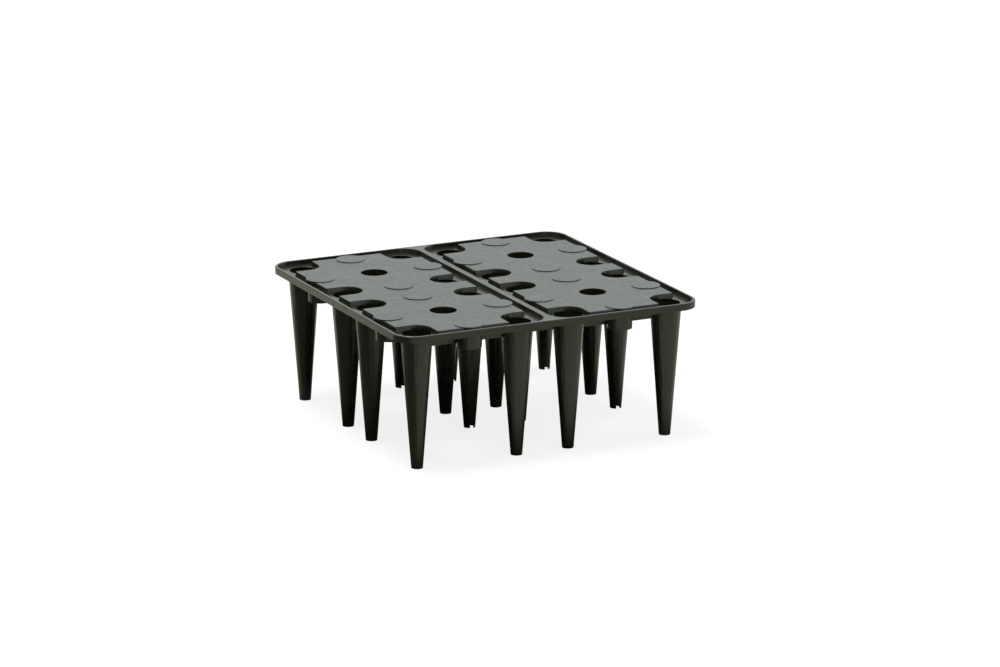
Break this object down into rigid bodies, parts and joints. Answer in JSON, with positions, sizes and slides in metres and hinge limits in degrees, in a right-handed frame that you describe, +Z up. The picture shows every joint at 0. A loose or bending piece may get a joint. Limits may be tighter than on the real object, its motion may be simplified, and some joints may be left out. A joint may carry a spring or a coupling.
{
  "type": "plastic grating tile",
  "caption": "Square moulded plastic deck tile standing on a grid of hollow tapered legs, with a rim, a gutter, a centre ridge, round holes and raised discs.",
  "frame": {"origin": "on the floor, under the middle of the tile", "axes": "+Z up, +X across the two half decks, +Y along the ridge between them"},
  "size_m": [0.4, 0.4, 0.1718],
  "materials": {
    "black_plastic": "satin, as moulded"
  },
  "bodies": {
    "root": {"grating_tile": "black_plastic"}
  },
  "joints": []
}
